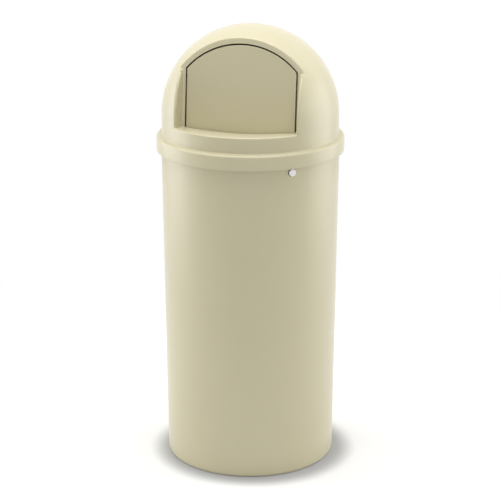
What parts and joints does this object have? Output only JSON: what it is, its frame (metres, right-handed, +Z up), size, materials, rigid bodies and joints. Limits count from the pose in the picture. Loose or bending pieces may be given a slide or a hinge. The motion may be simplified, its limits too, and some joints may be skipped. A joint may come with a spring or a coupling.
{
  "type": "dome top waste receptacle",
  "caption": "Tall round waste bin with a lift-off dome top, whose deep front recess holds a self-closing push door",
  "frame": {"origin": "On the floor, under the middle of the tub", "axes": "+Z up along the tub's axis; the push door faces -Y; +X is to the right of someone who looks at the door"},
  "size_m": [0.3906, 0.3906, 0.927],
  "materials": {
    "tub_plastic": "moulded beige polyethylene, satin",
    "dome_plastic": "moulded beige polyethylene, satin",
    "door_plastic": "moulded beige polyethylene, satin",
    "white_nylon": "white nylon, satin",
    "black_rubber": "black rubber, matte",
    "zinc_steel": "zinc-plated steel",
    "spring_steel": "oiled spring wire"
  },
  "bodies": {
    "tub": {"tub": "tub_plastic", "bag_band": "black_rubber", "hole_plug_front": "white_nylon", "hole_plug_rear": "white_nylon", "plug_grommet_front": "black_rubber", "plug_grommet_rear": "black_rubber"},
    "dome": {"dome_top": "dome_plastic", "hinge_rod": "zinc_steel", "hinge_bracket_left": "zinc_steel", "hinge_bracket_right": "zinc_steel", "rod_cap_left": "zinc_steel", "rod_cap_right": "zinc_steel", "door_spring_left": "spring_steel", "door_spring_right": "spring_steel", "door_bumper_left": "black_rubber", "door_bumper_right": "black_rubber", "bracket_screw_left_lower": "zinc_steel", "bracket_screw_left_upper": "zinc_steel", "bracket_screw_right_lower": "zinc_steel", "bracket_screw_right_upper": "zinc_steel"},
    "door": {"push_door": "door_plastic", "door_bush_left": "white_nylon", "door_bush_right": "white_nylon"}
  },
  "joints": [
    {"name": "lid_lift", "type": "slide", "parent": "tub", "child": "dome", "axis": [0, 0, 1], "range_m": [0, 0.15]},
    {"name": "door_swing", "type": "hinge", "parent": "dome", "child": "door", "pos_m": [0, -0.06292, 0.83567], "axis": [1, 0, 0], "range_deg": [0, 70], "stiffness_Nm_per_rad": 0.5, "springref_deg": -34.38, "deforming": ["door_spring_left", "door_spring_right"]}
  ]
}
